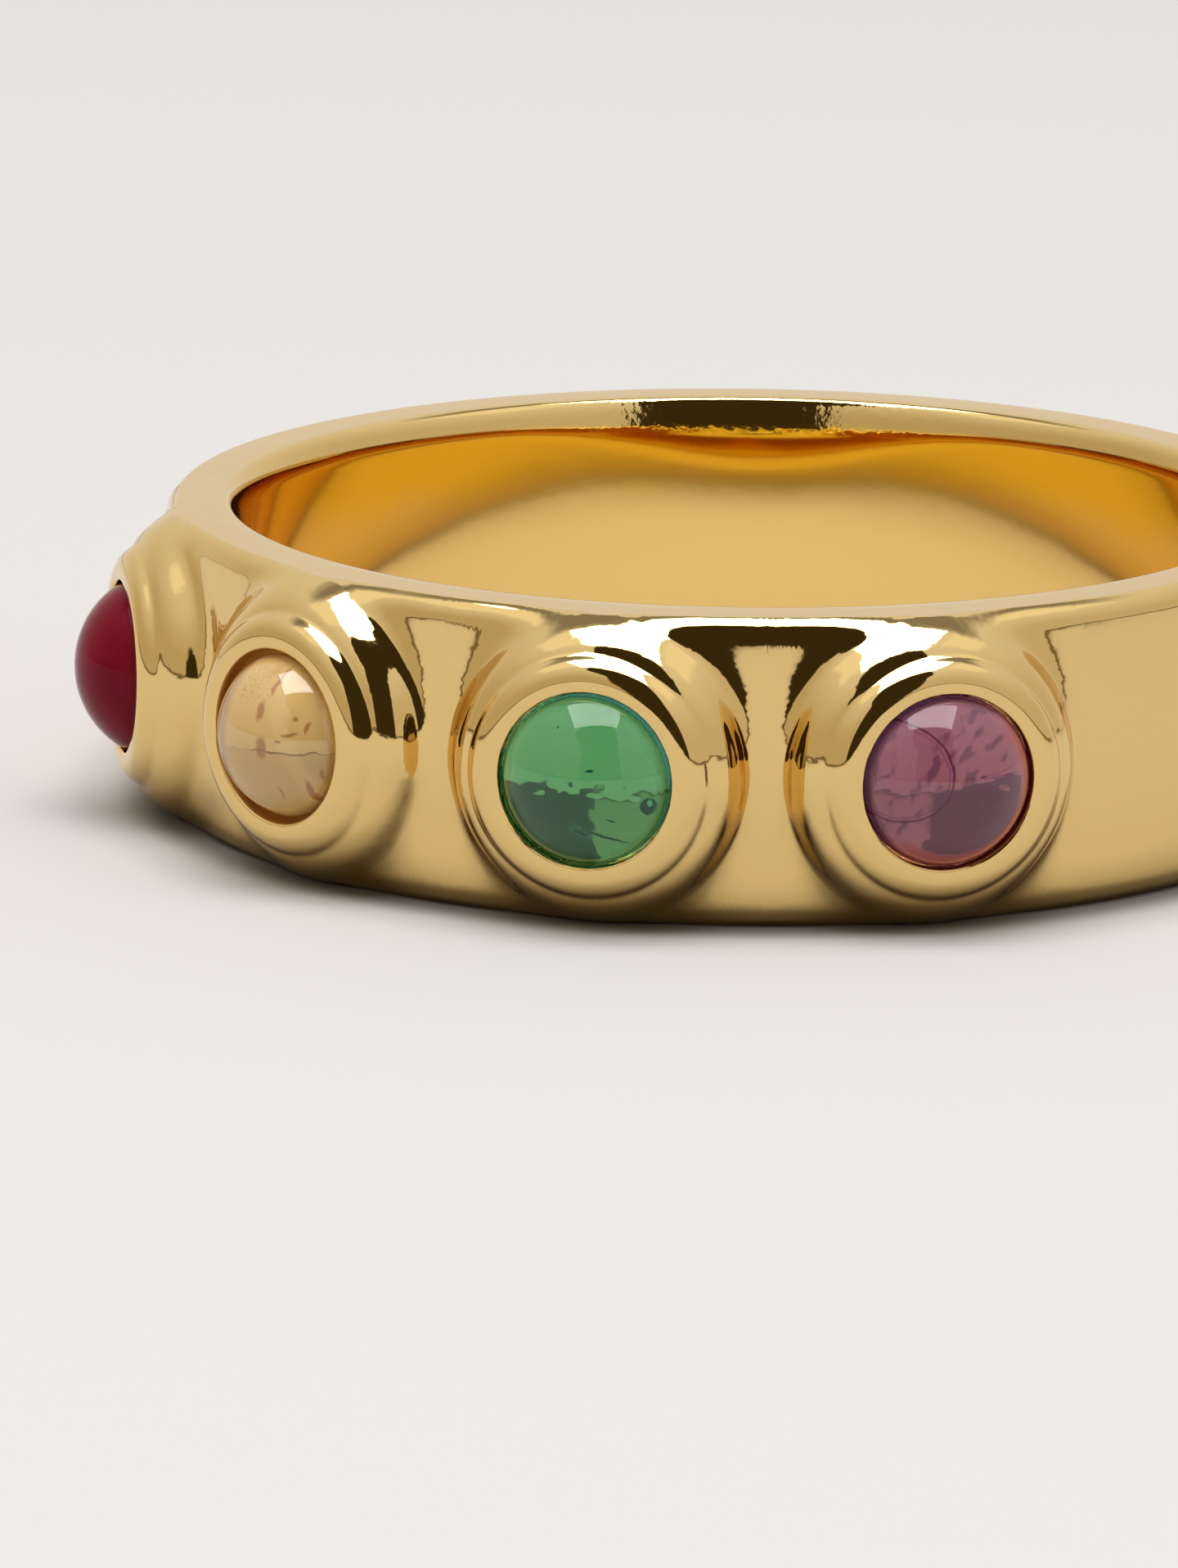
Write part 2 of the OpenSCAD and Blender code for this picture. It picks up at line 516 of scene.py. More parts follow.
# %% The near part of the spokes, over the collar
NEAR_RINGS, FINE = 60, 400
MOUTH_R = 1.51 * MM
FOOT_R = 2.50 * MM


def even_spacing(spokes, count):
    """Divides each spoke, an array of points in 3 x spokes x points, into equal lengths."""
    result = np.empty((3, spokes.shape[1], count + 1))
    for i in range(spokes.shape[1]):
        length = np.concatenate(([0], np.cumsum(np.linalg.norm(np.diff(spokes[:, i]), axis=0))))
        stations = np.linspace(0, length[-1], count + 1)
        for axis in range(3):
            result[axis, i] = np.interp(stations, length, spokes[axis, i])
    return result


near_r = np.linspace(MOUTH_R, FOOT_R, FINE)[None, :]
near_x = near_r * np.cos(turn)[:, None]
near_y = near_r * np.sin(turn)[:, None]
wall_r = wall_profile(wall_span(near_y))[1]
wall_z = np.sqrt(wall_r ** 2 - near_x ** 2)
collar_z = np.where(near_r < COLLAR_R, LIP, np.where(near_r < STEP_R, STEP_TOP, 0))
near = lay_on_metal(np.array([near_x, near_y, np.maximum(collar_z, wall_z)]), passes=8)
near = lay_on_metal(even_spacing(near, NEAR_RINGS), passes=3)
print("highest", round(near[2].max() / MM, 3), "foot up to", round(abs(near[1]).max() / MM, 3))

# %% The far part of the spokes, over the band's wall
# The band's curved edges are given more rings: lengths across the wall are stretched for that.
FAR_RINGS = 16
STRETCH = (1, 1.5, 12)
STRETCHED = np.cumsum([0, *np.diff(SPANS) * STRETCH])


def stretch(span):
    return np.sign(span) * np.interp(np.abs(span), SPANS, STRETCHED)


def unstretch(stretched):
    return np.sign(stretched) * np.interp(np.abs(stretched), STRETCHED, SPANS)


share = np.linspace(0, 1, FAR_RINGS + 1)[None, :]
foot_along = BAND_R * np.arctan2(near[0, :, -1], near[2, :, -1])[:, None]
foot_span = wall_span(near[1, :, -1])[:, None]
far_along = foot_along + (border_x[:, None] - foot_along) * share
far_span = unstretch(stretch(foot_span) + (stretch(border_span[:, None]) - stretch(foot_span)) * share)
far_y, far_r = wall_profile(far_span)
far = np.array([far_r * np.sin(far_along / BAND_R), far_y, far_r * np.cos(far_along / BAND_R)])
far[:, :, :-1] = lay_on_metal(far, passes=4)[:, :, :-1]
spokes = np.concatenate((near, far[:, :, 1:]), axis=2)
print("widest", round(abs(spokes[1]).max() / MM, 4))

# %% Draw the flat pattern of rings
RINGS = NEAR_RINGS + FAR_RINGS
bpy.ops.object.select_all(action="DESELECT")
bpy.ops.mesh.primitive_circle_add(vertices=SPOKES, radius=1 * MM, fill_type="NOTHING")
setting = bpy.context.object
setting.name = "gold_body"
bpy.ops.object.mode_set(mode="EDIT")
bpy.ops.mesh.select_all(action="SELECT")
grow_rings((RINGS, 0), [(RINGS + i + 1, 0) for i in range(RINGS)])
bpy.ops.object.mode_set(mode="OBJECT")
print("flat pattern of", RINGS + 1, "rings")

# %% Lay each ring of the pattern on the metal
flat = np.array([v.co for v in setting.data.vertices])
ring = np.rint((np.hypot(flat[:, 0], flat[:, 1]) / MM - 1) * RINGS).astype(int)
spoke = np.rint(np.arctan2(flat[:, 1], flat[:, 0]) / (2 * math.pi) * SPOKES).astype(int) % SPOKES
laid = spokes[:, spoke, ring].T
setting.data.vertices.foreach_set("co", laid.ravel())
print("pattern of", len(flat), "points, ring numbers", ring.min(), "to", ring.max())

# %% [markdown]
# ## The seats
# Each collar holds its stone in a blind round seat, a little wider than the stone. A boolean with
# a cylinder would cut the same hole, but with a sharp edge. So the mouth's ring is extruded over
# a rounded lip, down the wall and in over the floor, and the stones' light shows a soft edge.

# %% Sink the seat
SEAT_R = 1.46 * MM
SEAT_FLOOR = LIP - 1.48 * MM
LIP_EDGE = MOUTH_R - SEAT_R
EDGE_STEPS, WALL_STEPS, BASE_STEPS = 4, 8, 6
just_past_mouth = MOUTH_R * 1.002
count = select_where(setting, lambda co: math.hypot(co.x, co.y) < just_past_mouth)
mouth_z = spokes[2, 0, 0]
wall_start = mouth_z - LIP_EDGE
edge = arc(LIP_EDGE, (MOUTH_R, wall_start), 90, 180, EDGE_STEPS)
depth_of_wall = wall_start - SEAT_FLOOR
walls = [(SEAT_R, wall_start - depth_of_wall * (i + 1) / WALL_STEPS) for i in range(WALL_STEPS)]
base = [(SEAT_R * (1 - i / BASE_STEPS), SEAT_FLOOR) for i in range(1, BASE_STEPS)]
grow_rings((MOUTH_R, mouth_z), edge + walls + base)
bpy.ops.mesh.edge_face_add()
bpy.ops.object.mode_set(mode="OBJECT")
print("mouth of", count, "points, seat floor at", round(SEAT_FLOOR / MM, 3))

# %% [markdown]
# ## The whole outer side
# The four settings are alike and the rest of the band is plain. So the setting is copied and
# turned to its four places, and the plain part is spun from the free edge of the last one. Both
# then have the same points where they meet, and the wall shows no seam.

# %% Copy the setting four times and spin the plain part of the band
def setting_matrix(angle):
    """Turns a setting's own frame, with its axis up, to its place round the ring."""
    return Matrix.Rotation(angle, 4, "Z") @ Matrix.Rotation(math.pi / 2, 4, "X")


copies = [setting]
for _ in range(3):
    twin = setting.copy()
    twin.data = setting.data.copy()
    bpy.context.scene.collection.objects.link(twin)
    copies.append(twin)
for twin, angle in zip(copies, ANGLE.values()):
    twin.data.transform(setting_matrix(angle))
    twin.select_set(True)
bpy.context.view_layer.objects.active = setting
bpy.ops.object.join()

ROW_END = 2 * PITCH
PLAIN_ARC = 2 * math.pi - 2 * ROW_END
PLAIN_STEPS = 116
MERGE = 0.0002 * MM
SAME_ANGLE = 1e-5
count = select_where(setting, lambda co: abs(math.atan2(co.x, -co.y) - ROW_END) < SAME_ANGLE)
bpy.ops.mesh.spin(steps=PLAIN_STEPS, angle=-PLAIN_ARC, center=(0, 0, 0), axis=(0, 0, 1))
bpy.ops.mesh.select_all(action="SELECT")
bpy.ops.mesh.remove_doubles(threshold=MERGE)
bpy.ops.object.mode_set(mode="OBJECT")
print("spun edge of", count, "points")

# %% [markdown]
# ## The rims and the bore
# The rims are flat and the bore is a plain tube with rounded edges, so both are rings about one
# axis. They are grown from the upper open edge, over the rim, down the bore and out over the
# lower rim, where the last ring meets the lower open edge. An open edge is known by its faces:
# only one face uses it. The wheel leaves the bore a little uneven, which is shaped afterwards.

# %% Find the upper open edge
uses = np.bincount([loop.edge_index for loop in setting.data.loops], minlength=len(setting.data.edges))
open_points = {i for edge in setting.data.edges if uses[edge.index] == 1 for i in edge.vertices}
open_places = {tuple(setting.data.vertices[i].co) for i in open_points}
count = select_where(setting, lambda co: co.z > 0 and tuple(co) in open_places)
print("edge of", count, "points,", len(open_points), "at both open edges")

# %% Grow the rims and the bore from the upper edge
# The bore's edges are rounded for comfort: each is a quarter of a tall, thin ellipse.
INNER_DEPTH, INNER_REACH = 0.26 * MM, 0.52 * MM
RIM_RINGS, ROUND_RINGS, WALL_RINGS = 4, 14, 24
top = HALF_WIDTH
inner_r = BORE_R + INNER_DEPTH
rim = [(RIM_R + (inner_r - RIM_R) * i / RIM_RINGS, top) for i in range(1, RIM_RINGS + 1)]
turns = [math.pi / 2 * i / ROUND_RINGS for i in range(1, ROUND_RINGS + 1)]
upper_edge = [(inner_r - INNER_DEPTH * math.sin(t), top - INNER_REACH * (1 - math.cos(t))) for t in turns]
upper_half = [(RIM_R, top)] + rim + upper_edge
wall_top = top - INNER_REACH
wall = [(BORE_R, wall_top * (1 - i / WALL_RINGS)) for i in range(1, 2 * WALL_RINGS)]
lower_half = [(r, -z) for r, z in reversed(upper_half)]
grow_rings((RIM_R, top), rim + upper_edge + wall + lower_half)
bpy.ops.mesh.select_all(action="SELECT")
bpy.ops.mesh.remove_doubles(threshold=MERGE)
bpy.ops.mesh.normals_make_consistent(inside=False)
bpy.ops.object.mode_set(mode="OBJECT")
uses = np.bincount([loop.edge_index for loop in setting.data.loops], minlength=len(setting.data.edges))
print("open edges left:", (uses != 2).sum())

# %% Shape the bore as hand polishing leaves it
# The wheel hollows the wall a little and rounds its edges, most of all at one place at the back.
HOLLOW = 0.035 * MM
HAIR = 0.001 * MM
LONG_REACH = 1.30 * MM
SOFT_TURN, SOFT_WIDTH = AZIMUTH + math.radians(178), 0.30
coordinates = np.array([v.co for v in setting.data.vertices])
x, y, z = coordinates.T
radius, angle = np.hypot(x, y), np.arctan2(x, -y)
off = (angle - SOFT_TURN + math.pi) % (2 * math.pi) - math.pi
softened = np.exp(-(off / SOFT_WIDTH) ** 2)
reach = INNER_REACH + (LONG_REACH - INNER_REACH) * softened
past = np.clip((np.abs(z) - (top - reach)) / reach, 0, 1)
rounded = BORE_R + INNER_DEPTH * (1 - np.sqrt(1 - past ** 2))
hollowed = rounded + HOLLOW * (1 - softened) * (1 - (z / top) ** 2)
moved = np.where(radius < inner_r - HAIR, hollowed, radius)
coordinates[:, 0] *= moved / radius
coordinates[:, 1] *= moved / radius
setting.data.vertices.foreach_set("co", coordinates.ravel())
print("bore moved by up to", round(np.abs(moved - radius).max() / MM, 3), "mm")

# %% Finish the gold body
SHARP = math.radians(35)
bpy.ops.object.shade_smooth_by_angle(angle=SHARP)
gold_body = setting
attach(gold_body, "root")
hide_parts("band")
triangles = sum(len(p.vertices) - 2 for p in gold_body.data.polygons)
print("gold body of", triangles, "triangles")

# %% [markdown]
# ## The gold's finish
# Gold plate polished by hand is a mirror, but not a flat one. The wheel leaves soft waves a
# millimetre or two long. It can't reach into the steps of the collars, so there the reflections
# break up into small ragged patches. Inside the bore the polish is duller, and the gold's colour is
# painted brighter and a deeper yellow: a painted reflection of the light that the bore mirrors back
# and forth. One plain gold would look new and moulded. The waves could be shape, but they are far
# too low for that, so they are bump, and masks say where each finish is.

# %% Noise and places on the ring
def noise(vector, size, detail=2.0, roughness=0.5):
    """Cloudy noise whose features are about the given size."""
    return vector.node("ShaderNodeTexNoise", None, {
        "Vector": vector, "Scale": 1 / size, "Detail": detail, "Roughness": roughness})


def length(first, second):
    """The length of a flat vector with two given parts."""
    return size_of(first.node("ShaderNodeCombineXYZ", None, {0: first, 1: second}))


def setting_place(place, angle):
    """A place on the ring in a setting's own frame: to the right, up, and out along its axis."""
    side = dot(place, (math.cos(angle), math.sin(angle), 0))
    out = dot(place, (math.sin(angle), -math.cos(angle), 0))
    return side, place.node("ShaderNodeSeparateXYZ", None, {0: place}, output=2), out


def joined(masks):
    """The strongest of several masks."""
    result = masks[0]
    for mask in masks[1:]:
        result = result.maths("MAXIMUM", result, mask)
    return result


print("places can be asked for in", len(ANGLE), "settings")

# %% Where each finish of the gold is
gold, shader, wire = new_finish("polished_gold")
place = wire.node("ShaderNodeTexCoord", output=3)
SEAT_OUT = (8.9 * MM, 9.1 * MM)
COLLAR_FOOT = (1.95 * MM, 2.15 * MM, 2.6 * MM, 3.1 * MM)
SEAT_SIDE = (1.45 * MM, 1.5 * MM)
BORE_SIDE, ROUNDED_SIDE = (8.72 * MM, 8.92 * MM), (8.84 * MM, 8.90 * MM)
NEAR_RIM, NEAR_SOFT_PLACE = (1.95 * MM, 2.15 * MM), (7.9 * MM, 8.5 * MM)
feet, seats = {}, {}
for node, angle in ANGLE.items():
    side, up_by, out = setting_place(place, angle)
    away_by = length(side, up_by)
    outer_side = fade(out, *SEAT_OUT)
    feet[node] = between(away_by, *COLLAR_FOOT) * outer_side
    seats[node] = (1 - fade(away_by, *SEAT_SIDE)) * outer_side
ragged = joined(list(feet.values()))
pale_seat = seats["stone_champagne"]

side, up_by, out = setting_place(place, 0)
from_axis = length(side, out)
in_bore = 1 - fade(from_axis, *BORE_SIDE)
to_soft_place = dot(place, (math.sin(SOFT_TURN), -math.cos(SOFT_TURN), 0))
at_edge = fade(up_by, *NEAR_RIM) * (1 - fade(from_axis, *ROUNDED_SIDE))
at_soft_edge = at_edge * fade(to_soft_place, *NEAR_SOFT_PLACE)
print("masks of", len(gold.node_tree.nodes), "nodes")

# %% The bumps that polishing leaves
# All heights are in millimetres. The green stone's seat is the roughest, and no light comes
# through the red stone, so its seat is left smooth.
WAVE_SIZE, RIPPLE_SIZE, PATCH_SIZE = 1.6 * MM, 0.35 * MM, 0.5 * MM
DENT_SIZE, STREAK_SIZE = 0.26 * MM, 0.16 * MM
WAVE, RIPPLE, PATCH, STREAK = 0.014, 0.002, 0.010, 0.007
SEAT_DENTS = {"stone_green": 0.045, "stone_purple": 0.024}
BORE_SMOOTHED = 0.85
waves = noise(place, WAVE_SIZE, 1.0) * WAVE + noise(place, RIPPLE_SIZE, 2.0) * RIPPLE
patches = noise(place, PATCH_SIZE, 2.5, 0.5) * PATCH
depths = sum(seats[node] * dent for node, dent in SEAT_DENTS.items())
dents = noise(place, DENT_SIZE, 1.5, 0.6) * depths
streaks = noise(place, STREAK_SIZE, 2.0) * at_soft_edge * STREAK
bumps = waves * (1 - BORE_SMOOTHED * in_bore) + patches * ragged + dents + streaks
bumped = wire.node("ShaderNodeBump", None, {"Strength": 1.0, "Distance": MM, "Height": bumps})
plug(bumped, shader, "Normal")
print("bumps added:", len(gold.node_tree.nodes), "nodes")

# %% Polished gold
# The bore's gold is painted brighter, and a deeper yellow near its upper edge, as a painted reflection of
# the light that the bore mirrors back and forth. The pale stone's seat is left matt, and its gold is
# painted brighter as painted light in the dark gap round that stone.
GOLD = (0.78, 0.56, 0.225)
BORE_PAINTED_REFLECTION, DEEP_PAINTED_REFLECTION = (0.90, 0.64, 0.23), (0.91, 0.62, 0.07)
# Painted light: the pale stone's seat is a brighter gold, so the dark gap round that stone shows amber.
SEAT_PAINTED_LIGHT = (0.96, 0.70, 0.29)
POLISH, BORE_POLISH, SEAT_POLISH = 0.045, 0.025, 0.35
DRIFT_SIZE, DRIFT = 2.0 * MM, 0.8 * MM
DEEP_REFLECTION_FROM = (1.1 * MM, 2.0 * MM)
BORE_HEIGHT = (-2.2 * MM, -1.6 * MM, 2.0 * MM, 2.2 * MM)
drift = noise(place, DRIFT_SIZE, 2.0) * DRIFT
# Painted reflection: the bore's gold is brighter, and a deeper yellow higher up, for the light the gold
# mirrors inside the bore.
painted_bore_reflection = mix_colours(fade(up_by + drift, *DEEP_REFLECTION_FROM), BORE_PAINTED_REFLECTION, DEEP_PAINTED_REFLECTION)
painted_bore_mask = in_bore * between(up_by, *BORE_HEIGHT)
colour = mix_colours(painted_bore_mask, GOLD, painted_bore_reflection)
plug(mix_colours(pale_seat, colour, SEAT_PAINTED_LIGHT), shader, "Base Color")
plug(in_bore * BORE_POLISH + pale_seat * SEAT_POLISH + POLISH, shader, "Roughness")
shader.inputs["Metallic"].default_value = 1.0
gold_body.data.materials.append(gold)
print("polished gold of", len(gold.node_tree.nodes), "nodes")

# %% [markdown]
# ## The stones
# Each stone is a cabochon: a flat base, a straight girdle and a dome with a tighter shoulder. A
# squashed sphere would have no shoulder, and light bends through a dome in a way that shows every
# flat face. So the outline is two arcs that are tangent where they meet, and rings are grown
# along it in many small steps. The champagne stone is smaller and its shoulder is tighter.

# %% A cabochon, grown ring by ring
GIRDLE_DEPTH, DOME_ABOVE_LIP = 0.24 * MM, 0.765 * MM
GIRDLE = LIP - GIRDLE_DEPTH
DOME_RISE = GIRDLE_DEPTH + DOME_ABOVE_LIP
BASE_GAP = 0.04 * MM
STONE_BASE = SEAT_FLOOR + BASE_GAP
STONE_SPOKES = 96
SHOULDER_STEPS, DOME_STEPS = 24, 24
BASE_INSET, AT_OUTLINE = 0.06 * MM, 0.99


def dome_rings(radius, rise, shoulder_r):
    """Rings of a dome: a tight arc at the shoulder, tangent to one wide arc over the top."""
    shoulder_x = radius - shoulder_r
    top_r = (shoulder_x ** 2 + rise ** 2 - shoulder_r ** 2) / (2 * (rise - shoulder_r))
    centre_z = GIRDLE + rise - top_r
    join = math.degrees(math.atan2(GIRDLE - centre_z, shoulder_x))
    shoulder = arc(shoulder_r, (shoulder_x, GIRDLE), 0, join, SHOULDER_STEPS)
    return shoulder + arc(top_r, (0, centre_z), join, 90, DOME_STEPS)[:-1]


def cabochon(name, radius, rise, shoulder_r):
    """Makes a stone in a setting's own frame, with its axis up."""
    bpy.ops.object.select_all(action="DESELECT")
    bpy.ops.mesh.primitive_circle_add(vertices=STONE_SPOKES, radius=radius, fill_type="NGON")
    stone = bpy.context.object
    stone.name = name
    stone.data.transform(Matrix.Translation((0, 0, STONE_BASE)))
    bpy.ops.object.mode_set(mode="EDIT")
    bpy.ops.mesh.select_all(action="SELECT")
    bpy.ops.mesh.inset(thickness=BASE_INSET)
    bpy.ops.object.mode_set(mode="OBJECT")
    select_where(stone, lambda co: math.hypot(co.x, co.y) > radius * AT_OUTLINE)
    bpy.ops.mesh.region_to_loop()
    grow_rings((radius, STONE_BASE), [(radius, GIRDLE)] + dome_rings(radius, rise, shoulder_r))
    bpy.ops.mesh.merge(type="CENTER")
    bpy.ops.mesh.select_all(action="SELECT")
    bpy.ops.mesh.normals_make_consistent(inside=False)
    bpy.ops.object.mode_set(mode="OBJECT")
    bpy.ops.object.shade_smooth_by_angle(angle=SHARP)
    return stone


print("domes rise", round(DOME_RISE / MM, 3), "mm above their girdle")

# %% The four stones
# Each row: the material slot, the stone's radius and the radius of its shoulder.
STONES = {
    "stone_red": ("red_stone", 1.42 * MM, 0.6 * MM),
    "stone_champagne": ("champagne_stone", 1.36 * MM, 0.3 * MM),
    "stone_green": ("green_stone", 1.42 * MM, 0.6 * MM),
    "stone_purple": ("purple_stone", 1.42 * MM, 0.6 * MM),
}
stones = {}
for node, (slot, radius, shoulder_r) in STONES.items():
    stone = cabochon(slot, radius, DOME_RISE, shoulder_r)
    stone.data.transform(setting_matrix(ANGLE[node]))
    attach(stone, "root")
    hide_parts(node)
    stones[node] = stone
    print(node, "of", len(stone.data.polygons), "faces")

# %% [markdown]
# ## What the stones are made of
# Coloured glass alone would look like candy. A real stone is partly cloudy and holds flaws, and
# its colour comes from the depth of stone that the light passes. So each stone mixes two
# shaders: clear glass whose volume soaks up colour, and a cloud that scatters light near the
# surface. Flaws are spots where the cloud is denser and darker, drawn in the stone's own frame.

# %% Helpers for cloudy glass
def spot(side, up_by, centre, size, soft=0.35):
    """A soft oval, with its centre and half sizes in millimetres in the stone's own frame."""
    across = (side - centre[0] * MM) * (1 / (size[0] * MM))
    along = (up_by - centre[1] * MM) * (1 / (size[1] * MM))
    return 1 - fade(length(across, along), 1 - soft, 1 + soft)


def spots(side, up_by, rows):
    """Several ovals, each row a centre and half sizes."""
    return [spot(side, up_by, centre, size) for centre, size in rows]


CLEAR_EDGE = 0.1 * MM
CLOUD_ROUGHNESS = 0.02


def stone_start(node, wobble, wobble_size):
    """Starts a stone's finish, and gives its places, shaken a little so that no flaw is round."""
    finish, shader, wire = new_finish(STONES[node][0])
    stones[node].data.materials.append(finish)
    place = wire.node("ShaderNodeTexCoord", output=3)
    shake = noise(place, wobble_size * MM, 2.0) - 0.5
    side, up_by, out = setting_place(place, ANGLE[node])
    on_dome = fade(out, GIRDLE - CLEAR_EDGE, GIRDLE)
    return shader, place, side + shake * (wobble * MM), up_by + shake * (wobble * MM), on_dome


def cloudy_glass(shader, wire, soaked, density, cloud, cloud_colour, ior=1.52):
    """Mixes clear glass over a volume that soaks up colour with a cloud near its surface."""
    shader.inputs["Roughness"].default_value = 0.0
    shader.inputs["Transmission Weight"].default_value = 1.0
    shader.inputs["Base Color"].default_value = (1, 1, 1, 1)
    shader.inputs["IOR"].default_value = ior
    haze = wire.node("ShaderNodeBsdfPrincipled", None, {
        "Roughness": CLOUD_ROUGHNESS, "IOR": ior, "Base Color": cloud_colour})
    mix = wire.node("ShaderNodeMixShader", None, {0: cloud, 1: Wire(wire.tree, shader.outputs[0]), 2: haze})
    output = wire.tree.nodes["Material Output"]
    plug(mix, output, "Surface")
    absorb = wire.node("ShaderNodeVolumeAbsorption", None, {"Color": (*soaked, 1), "Density": density})
    plug(absorb, output, "Volume")


print("cloudy glass is ready for", len(stones), "stones")

# %% Red: so deep that no light comes through
shader, place, side, up_by, on_dome = stone_start("stone_red", 0.1, 0.5)
RED_DEEP, RED_VEIN = (0.155, 0.0008, 0.010), (0.180, 0.002, 0.015)
VEIN_SIZE = 0.6 * MM
veins = fade(noise(place, VEIN_SIZE, 3.0), 0.4, 0.7)
plug(mix_colours(veins, RED_DEEP, RED_VEIN), shader, "Base Color")
shader.inputs["Roughness"].default_value = 0.10
shader.inputs["Specular IOR Level"].default_value = 0.10
print("red finished")

# %% Champagne: where its flecks, whorls, painted shaded side and painted reflection of the horizon are
shader, place, side, up_by, on_dome = stone_start("stone_champagne", 0.16, 0.25)
FLECK_ROWS = [
    ((0.33, 0.58), (0.07, 0.17)), ((0.43, -0.03), (0.10, 0.20)), ((0.90, 0.50), (0.05, 0.04)),
    ((1.08, 0.38), (0.03, 0.09)), ((0.86, 0.24), (0.09, 0.03)), ((0.72, 0.12), (0.04, 0.04)),
    ((1.22, -0.40), (0.03, 0.08)), ((1.00, -0.75), (0.05, 0.20)), ((0.60, -0.78), (0.02, 0.12)),
    ((0.40, 1.02), (0.04, 0.22)),
]
brown = joined(spots(side, up_by, FLECK_ROWS))
WHORL_SIZE, WHORL_STEP = 0.22 * MM, 0.05
cloudy = noise(place, WHORL_SIZE, 2.0, 0.4)
whorls = fade(cloudy.maths("PINGPONG", cloudy, WHORL_STEP), 0.038, WHORL_STEP)
whorls = whorls * spot(side, up_by, (0.0, 0.95), (0.35, 0.32))
# Painted shade: the stone's left side is darker. The whorls share this colour.
painted_shaded_side = 1 - fade(side, -0.62 * MM, -0.30 * MM)
# Painted reflection: the greyer lower part and the dark line at its top stand for the horizon mirrored in
# the seat.
painted_lower_part = 1 - fade(up_by, -0.10 * MM, -0.06 * MM)
painted_horizon_line = spot(side, up_by, (0.75, -0.07), (0.60, 0.018))
print("champagne has", len(FLECK_ROWS), "flecks")

# %% Champagne: a pale cloud with brown flecks, a painted shaded side, and a greyer lower part under a dark line, both painted as a reflection of the horizon
PALE, PAINTED_LOWER_REFLECTION, PAINTED_SHADE_AND_WHORL = (0.90, 0.60, 0.21), (0.78, 0.50, 0.17), (0.56, 0.30, 0.12)
FLECK, PAINTED_LINE_COLOUR = (0.36, 0.15, 0.04), (0.33, 0.185, 0.06)
WHORL_DEPTH, FLECK_DEPTH = 0.8, 0.9
CLOUDINESS, FLECK_CLOUD = 0.70, 0.3
SOAKED, SOAK_DENSITY, STRONG_IOR = (0.97, 0.80, 0.50), 350, 1.75
colour = mix_colours(painted_lower_part, PALE, PAINTED_LOWER_REFLECTION)
colour = mix_colours(painted_shaded_side, colour, PAINTED_SHADE_AND_WHORL)
colour = mix_colours(whorls * WHORL_DEPTH, colour, PAINTED_SHADE_AND_WHORL)
colour = mix_colours(painted_horizon_line, colour, PAINTED_LINE_COLOUR)
colour = mix_colours(brown * FLECK_DEPTH, colour, FLECK)
cloud = CLOUDINESS + FLECK_CLOUD * brown
cloudy_glass(shader, place, SOAKED, SOAK_DENSITY, cloud * on_dome, colour, STRONG_IOR)
print("champagne finished")

# %% Green: clear, with a bubble near its right edge, a painted glint in the bubble, a few dark specks and a rim painted darker as shade
# Three of the specks lie along one slanted flaw.
shader, place, side, up_by, on_dome = stone_start("stone_green", 0.05, 0.2)
CLOUD, DARK_SPECK = (0.08, 0.50, 0.21), (0.006, 0.06, 0.025)
PAINTED_GLINT_COLOUR, EDGE = (0.10, 0.42, 0.16), (0.035, 0.16, 0.02)
CLOUDINESS, RIM_CLOUD, DARK_CLOUD = 0.13, 0.35, 0.87
SOAKED, SOAK_DENSITY = (0.27, 0.86, 0.75), 600
SPECK_ROWS = [((0.27, 0.33), (0.06, 0.025)), ((-0.34, 0.96), (0.02, 0.02)), ((-0.65, -0.07), (0.03, 0.03))]
SLANTED_ROWS = [((0.44, -0.78), (0.40, 0.03)), ((0.60, -0.44), (0.07, 0.02)), ((0.10, -0.88), (0.16, 0.05))]
slanted = up_by + 0.42 * (side - 0.44 * MM)
specks = spots(side, up_by, SPECK_ROWS) + spots(side, slanted, SLANTED_ROWS)
bubble = spot(side, up_by, (1.15, -0.29), (0.115, 0.15), 0.12)
# Painted glint: a lighter spot in the dark bubble.
painted_glint = spot(side, up_by, (1.17, -0.24), (0.03, 0.06))
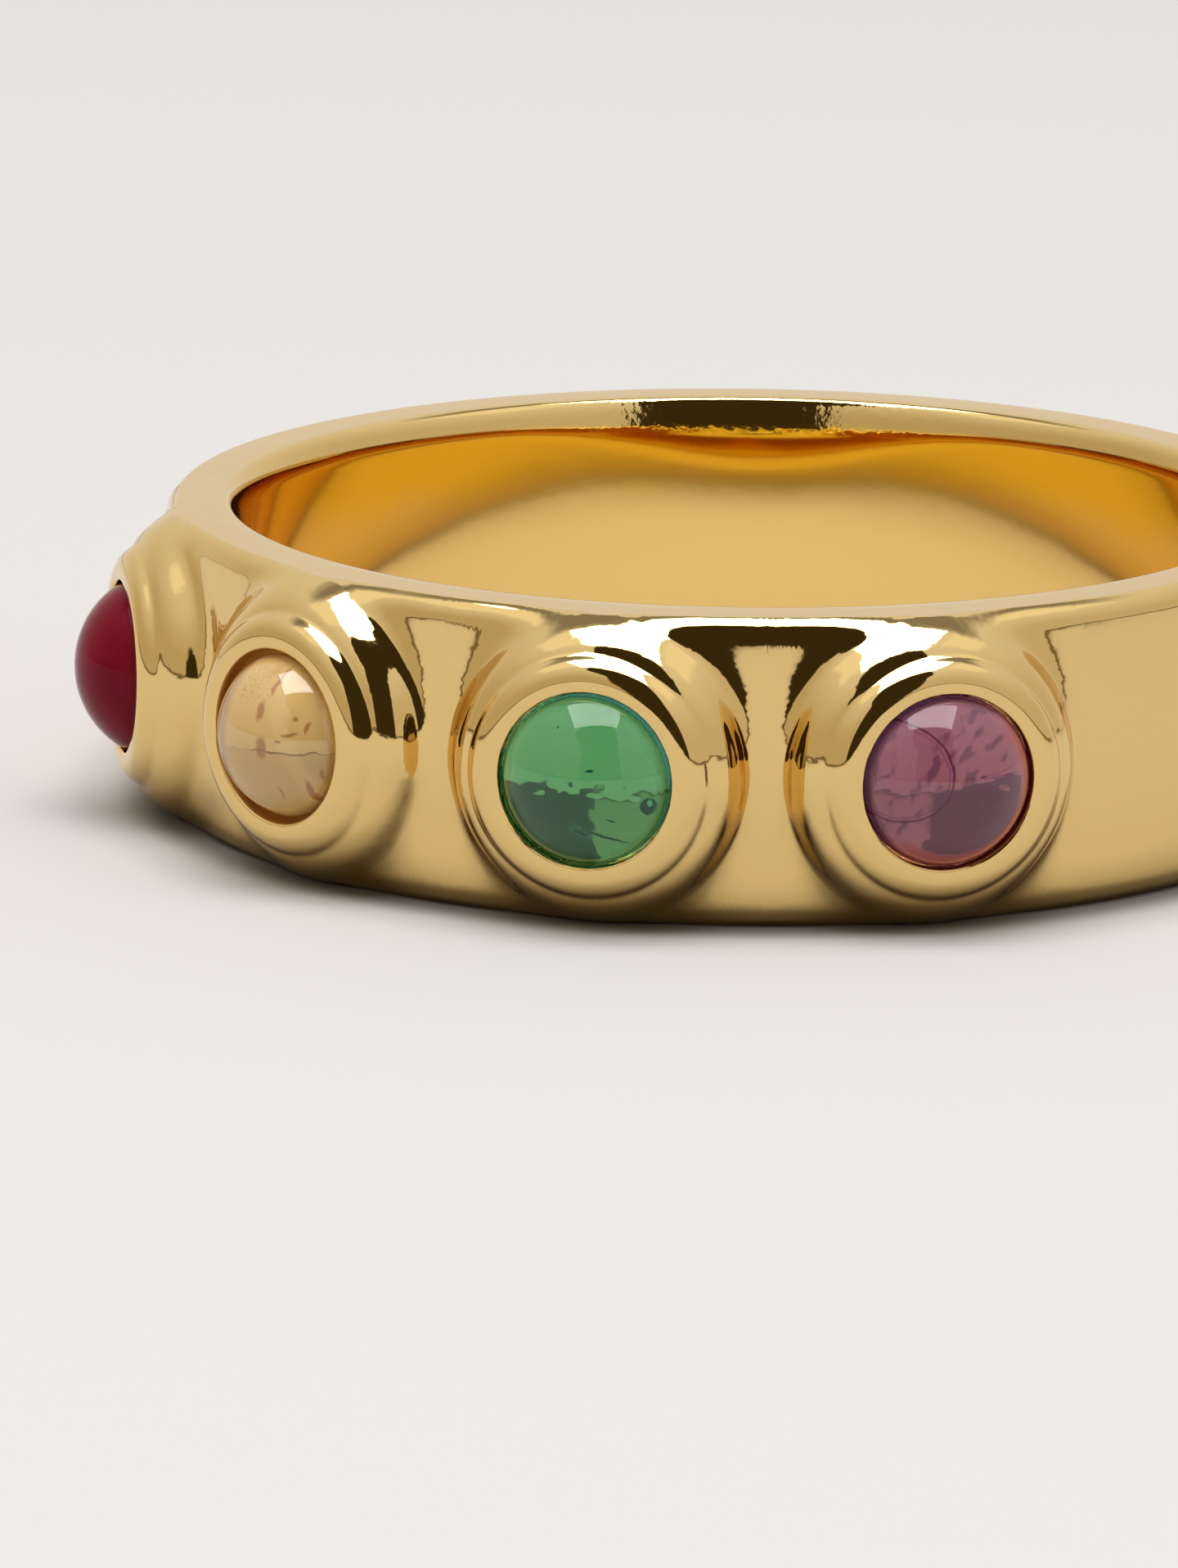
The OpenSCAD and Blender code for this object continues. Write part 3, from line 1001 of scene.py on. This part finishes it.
# Painted shade: the stone's colour is darker near its rim.
rim_near = fade(length(side, up_by), 1.22 * MM, 1.36 * MM)
dark = joined([*specks, bubble])
colour = mix_colours(rim_near, CLOUD, EDGE)
colour = mix_colours(dark, colour, DARK_SPECK)
colour = mix_colours(painted_glint, colour, PAINTED_GLINT_COLOUR)
cloud = CLOUDINESS + RIM_CLOUD * rim_near + DARK_CLOUD * dark * (1 - rim_near)
cloudy_glass(shader, place, SOAKED, SOAK_DENSITY, cloud * on_dome, colour)
print("green finished with", len(specks), "specks")

# %% Purple: cloudier, with a curved flaw on the left and a reddish edge
shader, place, side, up_by, on_dome = stone_start("stone_purple", 0.05, 0.3)
CLOUD, FLAW, EDGE = (0.38, 0.125, 0.22), (0.10, 0.015, 0.05), (0.36, 0.08, 0.075)
CLOUDINESS, RIM_CLOUD, DARK_CLOUD = 0.28, 0.62, 0.6
SOAKED, SOAK_DENSITY = (0.68, 0.34, 0.76), 500
from_curve = length(side + 0.97 * MM, up_by - 0.28 * MM)
curve = spot(from_curve, 0.0 * up_by, (0.80, 0), (0.022, 1), 0.6)
inner_curve = spot(from_curve, 0.0 * up_by, (0.735, 0), (0.014, 1), 0.6)
wisps = joined(spots(side, up_by, [((0.70, 0.20), (0.35, 0.025)), ((0.85, 0.02), (0.20, 0.02))]))
rim_near = fade(length(side + 0.02 * MM, up_by), 1.10 * MM, 1.20 * MM)
rim_near = rim_near * fade(side - up_by, -0.6 * MM, 0.5 * MM)
FAINT = 0.6
dark = joined([curve, inner_curve * FAINT, wisps * FAINT])
colour = mix_colours(rim_near, CLOUD, EDGE)
colour = mix_colours(dark, colour, FLAW)
cloud = CLOUDINESS + RIM_CLOUD * rim_near + DARK_CLOUD * dark * (1 - rim_near)
cloudy_glass(shader, place, SOAKED, SOAK_DENSITY, cloud * on_dome, colour)
print("purple finished")

# %% [markdown]
# ## The sizes
# The finer forms have to stay in the box of the plain solids.

# %% Finish with the standard view transform
bpy.context.scene.view_settings.view_transform = "Standard"
